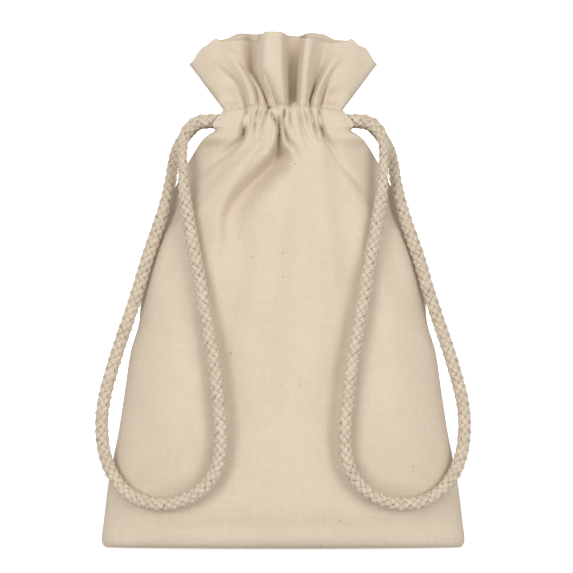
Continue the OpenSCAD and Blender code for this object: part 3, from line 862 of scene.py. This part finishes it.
def thread_piece(name, parts, node, body="sack"):
    """A piece of thread that stands for a CAD node."""
    points, faces, uvs = join_parts(parts)
    obj = make_object(name, points * MM, faces, uvs)
    dress(obj, THREAD_FINISH)
    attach(obj, body)
    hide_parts(node)
    return obj


def make_stitches(name, row, height, reach):
    """A row of separate stitches across a panel."""
    pitch, half, lift = 2.6, 0.8, 0.04
    radii = np.array([0.07, 0.17, 0.2, 0.2, 0.17, 0.07])
    parts = []
    for x in np.arange(-reach, reach + 0.01, pitch):
        at = np.linspace(x - half, x + half, len(radii))
        parts.append(tube(on_cloth(name, at, height(at), lift), radii, 6))
    return thread_piece(f"{name}_{row}_stitches", parts, f"{name}_{row}_stitching")


def make_tacks(side):
    """Bar tacks on the casing's open end, front and back: a zigzag of thread each."""
    name = "left" if side < 0 else "right"
    count, step, swing, thread, margin = 15, 0.14, 0.22, 0.10, 0.9
    steps = np.arange(count)
    parts = []
    for face in FACES:
        for z in (162.4, 164.2, 166.0):
            at = smooth_curve(BODY, np.full(count, z), 1) - margin - steps * step
            parts.append(tube(on_cloth(face, side * at, z + swing * (-1.0) ** steps, 0.0), thread, 5))
    return thread_piece(f"{name}_opening_bartacks", parts, f"{name}_opening_tacks")


def make_seam(name, edge, inward, width):
    """A closed seam allowance inside the sack, with its overlocked edge. edge is its outer line."""
    edge = np.array(edge, float)
    inward = np.array(inward, float)
    along = np.concatenate([[0], np.cumsum(np.linalg.norm(np.diff(edge, axis=0), axis=1))])
    wave = 0.15 * np.sin(along * 0.35)
    y = np.array([0.0, 1.0, 0.0])
    half, crown = 0.2, 0.24
    ring = [(0, -half), (width * 0.5, -crown), (width, -half), (width, half), (width * 0.5, crown), (0, half)]
    points = np.stack([edge + inward * w + y * t + inward * wave[:, None] for w, t in ring], axis=1)
    points = points.reshape(-1, 3)
    count = len(ring)
    faces = grid_faces(len(edge), count, closed=True)
    faces += [list(range(count))[::-1], [(len(edge) - 1) * count + s for s in range(count)]]
    uvs = np.stack([np.repeat(along * MM, count), np.tile(np.arange(count) / count, len(edge))], axis=1)
    step, pitch, thread = 0.22, 1.7, 0.11
    coil_wide, coil_thick = 1.1, 0.34
    turns = np.arange(0, along[-1], step)
    rim = edge + inward * (width - 1.0)
    middle = np.stack([np.interp(turns, along, rim[:, k]) for k in range(3)], axis=1)
    angle = turns * 2 * math.pi / pitch
    coil = middle + inward * (coil_wide * np.cos(angle))[:, None] + y * (coil_thick * np.sin(angle))[:, None]
    return thread_piece(f"{name}_overlock", [(points, faces, uvs), tube(coil, thread, 5)], name)


def make_seams():
    """The side, header and bottom seams, each inside its edge of the sack."""
    for side, name in ((-1, "left"), (1, "right")):
        z = np.linspace(4, 156, 77)
        x = smooth_curve(BODY, z, 1) - 1.2
        make_seam(f"{name}_side_seam", np.stack([side * x, 0 * z, z], axis=1), (-side, 0, 0), 5.5)
        k = np.linspace(0.18, 0.92, 16)
        x = NECK_X + k * (CORNER_X - NECK_X) - 0.8
        z = 168.2 + k * (CORNER_Z - 168.2)
        make_seam(f"{name}_header_seam", np.stack([side * x, 0 * z, z], axis=1), (-side, 0, 0), 4.5)
    x = np.linspace(-62, 62, 63)
    make_seam("bottom_seam", np.stack([x, 0 * x, 0 * x + 0.9], axis=1), (0, 0, 1), 5.0)


def make_splice():
    """Thread wound round the cord where its two ends are sewn together, inside the back casing."""
    start, pitch, radius, thread = -14.7, 0.53, 2.85, 0.24
    turns = np.arange(0, 8.6, 1 / 24)
    coil = np.stack([start + turns * pitch, CORD_Y + radius * np.cos(2 * math.pi * turns),
                     CORD_Z + radius * np.sin(2 * math.pi * turns)], axis=1)
    return thread_piece("cord_splice_whipping", [tube(coil, thread, 6)], "cord_splice", "left_cord")


UPPER_REACH, LOWER_REACH = 20.8, 22.1  # half the length of each row of stitches

grids = {name: panel_grid(*FACES[name][:3]) * np.array([1, FACES[name][3], 1]) for name in FACES}
for face, out in wrinkles(grids).items():
    grids[face][:, :, 1] -= out * FACES[face][3]
print("SIMULATION done")
for face in FACES:
    cloth = make_panel(face, grids[face])
    lining = make_lining(face, grids[face])
    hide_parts(f"{face}_panel")
    rows = [make_stitches(face, "upper", neck_line, UPPER_REACH),
            make_stitches(face, "lower", lambda x: np.full_like(x, LOWER_Z), LOWER_REACH)]
for side in (-1, 1):
    make_tacks(side)
make_seams()
make_splice()
print("CLOTH done")

# ---------------------------------------------------------------- stage and lights

FLOOR_TONES = ((0.93, 0.93, 0.93, 1), (0.95, 0.95, 0.95, 1))
GLOW_FROM_TO, GLOW = (0.3, 2.5), (0.55, 0.97)  # the stage glows more with distance, in metres, up to white
LIGHTS_AIM = (0, 0, 0.1)
WORLD_LIGHT = 0.57


def make_stage():
    """A pale round floor that sweeps up into a wall a few metres off, all the way round."""
    reach, sweep, height, sides = 4.0, 1.0, 5.0, 64
    profile = [(0.01, 0.0), (reach, 0.0)]
    profile += [(reach + sweep * math.sin(a), sweep * (1 - math.cos(a)))
                for a in np.linspace(0.1, math.pi / 2, 12)]
    profile.append((reach + sweep, height))
    turn = np.arange(sides) * 2 * math.pi / sides
    points = [(r * math.cos(t), r * math.sin(t), z) for r, z in profile for t in turn]
    faces = grid_faces(len(profile), sides, closed=True) + [list(range(sides))[::-1]]
    floor = make_object("floor", points, faces)
    n = Nodes("pale_floor")
    where = n.add("ShaderNodeTexCoord").outputs["Object"]
    tone = n.ramp(n.noise(where, 6.0), 0.3, 0.7)
    away = n.add("ShaderNodeVectorMath", {"operation": "LENGTH"}, Vector=where).outputs["Value"]
    n.shader.inputs["Emission Color"].default_value = (1, 1, 1, 1)
    n.put(n.shader.inputs["Emission Strength"], n.ramp(away, *GLOW_FROM_TO, *GLOW))
    floor.data.materials.append(n.finish(n.mix(tone, *FLOOR_TONES), 0.9, sheen=0))
    floor.visible_diffuse = False  # the stage stays white without lighting the cloth from below
    floor.visible_shadow = False


def area_light(name, place, size, power):
    """A round soft box of that width in metres and power in watts."""
    data = bpy.data.lights.new(name, "AREA")
    data.shape = "DISK"
    data.size = size
    data.energy = power
    light = bpy.data.objects.new(name, data)
    light.location = place
    light.rotation_euler = (Vector(LIGHTS_AIM) - Vector(place)).to_track_quat("-Z", "Y").to_euler()
    scene.collection.objects.link(light)


def make_lights():
    """An even pale world and three soft boxes."""
    world = bpy.data.worlds.new("studio")
    world.use_nodes = True
    background = world.node_tree.nodes["Background"]
    background.inputs[0].default_value = (1, 1, 1, 1)
    background.inputs[1].default_value = WORLD_LIGHT
    scene.world = world
    area_light("left_box", (-0.84, -1.46, 0.36), 1.0, 12.3)
    area_light("right_box", (0.92, -1.42, 0.28), 1.0, 12.0)
    area_light("high_box", (-0.25, -1.05, 1.15), 0.8, 2.2)


make_stage()
make_lights()
